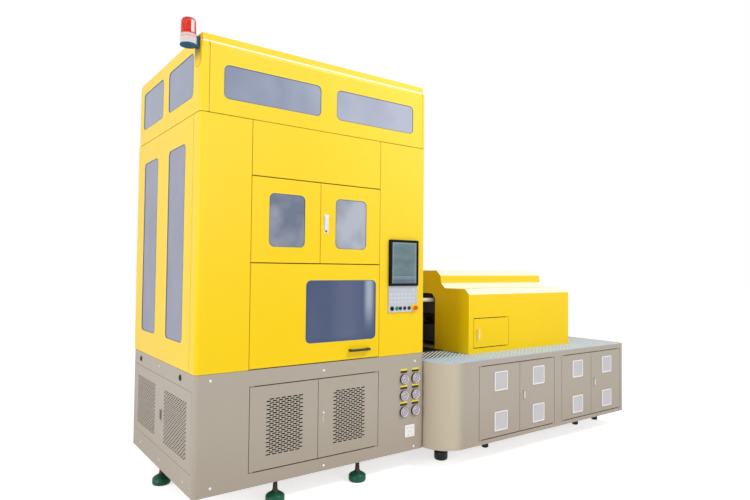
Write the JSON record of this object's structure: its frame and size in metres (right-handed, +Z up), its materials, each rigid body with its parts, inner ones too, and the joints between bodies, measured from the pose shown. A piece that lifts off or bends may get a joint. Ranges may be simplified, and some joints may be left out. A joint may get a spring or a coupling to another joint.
{
  "type": "blow moulding machine",
  "caption": "Guarded injection stretch blow moulding tower with a long side injection unit under a stepped cover, on cabinets with doors and levelling feet.",
  "frame": {"origin": "middle of the machine's footprint box on the floor, beacon included", "axes": "+X from the tower towards the injection unit's far end, along the front; +Y from the front to the back; +Z up"},
  "size_m": [5.012, 2.113, 3.482],
  "materials": {
    "cream_enamel": "satin yellow powder coat",
    "grey_enamel": "textured warm grey powder coat",
    "white_enamel": "white powder coat",
    "black_enamel": "black powder coat",
    "pane": "tinted clear plate",
    "dark_plastic": "dark moulded housing",
    "pale_plate": "satin anodised",
    "black_plastic": "moulded",
    "green_plastic": "moulded",
    "red_plastic": "moulded",
    "red_lens": "translucent lens",
    "blue_plastic": "moulded",
    "gauge_steel": "bright case with pale dial",
    "zinc": "zinc plated",
    "foot_green": "green enamel",
    "steel": "machined",
    "bright_bar": "hard chromed and ground",
    "cast": "machined and painted",
    "mould_alloy": "machined"
  },
  "bodies": {
    "machine": {"base_cabinet": "grey_enamel", "base_side_panel": "grey_enamel", "guard_frame": "black_enamel", "front_left_panel": "cream_enamel", "front_right_panel": "cream_enamel", "top_centre_panel": "cream_enamel", "left_side_panel": "cream_enamel", "right_side_panel": "cream_enamel", "back_panel": "cream_enamel", "side_panes": "pane", "hood_shell": "cream_enamel", "hood_front_panel": "cream_enamel", "hood_panes": "pane", "screen_housing": "dark_plastic", "key_plate": "pale_plate", "pressure_gauges": "gauge_steel", "beacon_base": "blue_plastic", "beacon_lens": "red_lens", "levelling_feet": "foot_green", "tie_bars": "bright_bar", "crown": "cast", "injection_mould": "steel", "pump_unit": "cast", "injection_cabinet": "grey_enamel", "tread_plate": "zinc", "control_gear": "white_enamel", "injection_cover": "cream_enamel", "injection_guide": "bright_bar"},
    "base_left_door_body": {"base_left_door": "grey_enamel"},
    "base_right_door_body": {"base_right_door": "grey_enamel"},
    "upper_left_door_body": {"upper_left_door": "cream_enamel", "upper_left_pane": "pane"},
    "upper_right_door_body": {"upper_right_door": "cream_enamel", "upper_right_pane": "pane"},
    "lower_door_body": {"lower_door": "cream_enamel", "lower_door_pane": "pane", "lower_door_handle": "black_plastic"},
    "cabinet_door_1_body": {"cabinet_door_1": "grey_enamel"},
    "cabinet_door_2_body": {"cabinet_door_2": "grey_enamel"},
    "cabinet_door_3_body": {"cabinet_door_3": "grey_enamel"},
    "cabinet_door_4_body": {"cabinet_door_4": "grey_enamel"},
    "cover_hatch_body": {"cover_hatch": "cream_enamel"},
    "upper_door_latch_body": {"upper_door_latch": "zinc"},
    "side_panel_latch_body": {"side_panel_latch": "zinc"},
    "cabinet_latch_2_body": {"cabinet_latch_2": "zinc"},
    "cabinet_latch_4_body": {"cabinet_latch_4": "zinc"},
    "selector_body": {"selector_knob": "black_plastic"},
    "start_button_body": {"start_button": "green_plastic"},
    "stop_button_body": {"stop_button": "black_plastic"},
    "mode_button_body": {"mode_button": "black_plastic"},
    "reset_button_body": {"reset_button": "black_plastic"},
    "emergency_stop_body": {"emergency_stop": "red_plastic"},
    "turntable_body": {"turntable": "steel"},
    "moving_platen_body": {"moving_platen": "cast"},
    "stretch_unit_body": {"stretch_unit": "steel"},
    "blow_mould_outer_body": {"blow_mould_outer": "mould_alloy"},
    "blow_mould_inner_body": {"blow_mould_inner": "mould_alloy"},
    "injection_unit_body": {"injection_carriage": "cast", "injection_barrel": "steel"},
    "injection_screw_body": {"injection_screw": "steel"}
  },
  "joints": [
    {"name": "base_left_door_body_turn", "type": "hinge", "parent": "machine", "child": "base_left_door_body", "pos_m": [-1.9645, -0.792, 0.58], "axis": [0, 0, -1], "range_deg": [0, 110]},
    {"name": "base_right_door_body_turn", "type": "hinge", "parent": "machine", "child": "base_right_door_body", "pos_m": [-0.8255, -0.792, 0.58], "axis": [0, 0, 1], "range_deg": [0, 110]},
    {"name": "upper_left_door_body_turn", "type": "hinge", "parent": "machine", "child": "upper_left_door_body", "pos_m": [-1.9745, -0.792, 2.11], "axis": [0, 0, -1], "range_deg": [0, 110]},
    {"name": "upper_right_door_body_turn", "type": "hinge", "parent": "machine", "child": "upper_right_door_body", "pos_m": [-0.8255, -0.792, 2.11], "axis": [0, 0, 1], "range_deg": [0, 110]},
    {"name": "lower_door_body_turn", "type": "hinge", "parent": "machine", "child": "lower_door_body", "pos_m": [-1.9745, -0.792, 1.4], "axis": [0, 0, -1], "range_deg": [0, 110]},
    {"name": "cabinet_door_1_body_turn", "type": "hinge", "parent": "machine", "child": "cabinet_door_1_body", "pos_m": [0.1485, -1.042, 0.544], "axis": [0, 0, -1], "range_deg": [0, 90]},
    {"name": "cabinet_door_2_body_turn", "type": "hinge", "parent": "machine", "child": "cabinet_door_2_body", "pos_m": [1.2215, -1.042, 0.544], "axis": [0, 0, 1], "range_deg": [0, 90]},
    {"name": "cabinet_door_3_body_turn", "type": "hinge", "parent": "machine", "child": "cabinet_door_3_body", "pos_m": [1.3655, -1.042, 0.544], "axis": [0, 0, -1], "range_deg": [0, 90]},
    {"name": "cabinet_door_4_body_turn", "type": "hinge", "parent": "machine", "child": "cabinet_door_4_body", "pos_m": [2.4175, -1.042, 0.544], "axis": [0, 0, 1], "range_deg": [0, 90]},
    {"name": "cover_hatch_body_turn", "type": "hinge", "parent": "machine", "child": "cover_hatch_body", "pos_m": [0.8735, -0.74, 1.134], "axis": [0, 0, 1], "range_deg": [0, 110]},
    {"name": "upper_door_latch_body_turn", "type": "hinge", "parent": "upper_right_door_body", "child": "upper_door_latch_body", "pos_m": [-1.3495, -0.808, 2.171], "axis": [-1, 0, 0], "range_deg": [0, 90]},
    {"name": "side_panel_latch_body_turn", "type": "hinge", "parent": "machine", "child": "side_panel_latch_body", "pos_m": [-2.388, -0.0525, 0.6275], "axis": [0, 1, 0], "range_deg": [0, 90]},
    {"name": "cabinet_latch_2_body_turn", "type": "hinge", "parent": "cabinet_door_2_body", "child": "cabinet_latch_2_body", "pos_m": [0.7575, -1.058, 0.587], "axis": [-1, 0, 0], "range_deg": [0, 90]},
    {"name": "cabinet_latch_4_body_turn", "type": "hinge", "parent": "cabinet_door_4_body", "child": "cabinet_latch_4_body", "pos_m": [1.9325, -1.058, 0.587], "axis": [-1, 0, 0], "range_deg": [0, 90]},
    {"name": "selector_body_turn", "type": "hinge", "parent": "machine", "child": "selector_body", "pos_m": [-0.686, -0.812, 1.415], "axis": [0, 1, 0], "range_deg": [-45, 45]},
    {"name": "start_button_body_slide", "type": "slide", "parent": "machine", "child": "start_button_body", "axis": [0, 1, 0], "range_m": [0, 0.004], "stiffness_N_per_m": 600},
    {"name": "stop_button_body_slide", "type": "slide", "parent": "machine", "child": "stop_button_body", "axis": [0, 1, 0], "range_m": [0, 0.004], "stiffness_N_per_m": 600},
    {"name": "mode_button_body_slide", "type": "slide", "parent": "machine", "child": "mode_button_body", "axis": [0, 1, 0], "range_m": [0, 0.004], "stiffness_N_per_m": 600},
    {"name": "reset_button_body_slide", "type": "slide", "parent": "machine", "child": "reset_button_body", "axis": [0, 1, 0], "range_m": [0, 0.004], "stiffness_N_per_m": 600},
    {"name": "emergency_stop_body_slide", "type": "slide", "parent": "machine", "child": "emergency_stop_body", "axis": [0, 1, 0], "range_m": [0, 0.005]},
    {"name": "turntable_body_turn", "type": "hinge", "parent": "machine", "child": "turntable_body", "pos_m": [-1.345, 0, 1.47], "axis": [0, 0, 1], "continuous": true},
    {"name": "moving_platen_body_slide", "type": "slide", "parent": "machine", "child": "moving_platen_body", "axis": [0, 0, -1], "range_m": [0, 0.22]},
    {"name": "stretch_unit_body_slide", "type": "slide", "parent": "moving_platen_body", "child": "stretch_unit_body", "axis": [0, 0, -1], "range_m": [0, 0.24]},
    {"name": "blow_mould_outer_body_slide", "type": "slide", "parent": "machine", "child": "blow_mould_outer_body", "axis": [1, 0, 0], "range_m": [0, 0.0598]},
    {"name": "blow_mould_inner_body_slide", "type": "slide", "parent": "machine", "child": "blow_mould_inner_body", "axis": [-1, 0, 0], "range_m": [0, 0.0598]},
    {"name": "injection_unit_body_slide", "type": "slide", "parent": "machine", "child": "injection_unit_body", "axis": [1, 0, 0], "range_m": [0, 0.15]},
    {"name": "injection_screw_body_turn", "type": "hinge", "parent": "injection_unit_body", "child": "injection_screw_body", "pos_m": [0.12, 0, 1.22], "axis": [1, 0, 0], "continuous": true}
  ],
  "couplings": [
    {"joint": "blow_mould_inner_body_slide", "follows": "blow_mould_outer_body_slide", "ratio": 1}
  ]
}
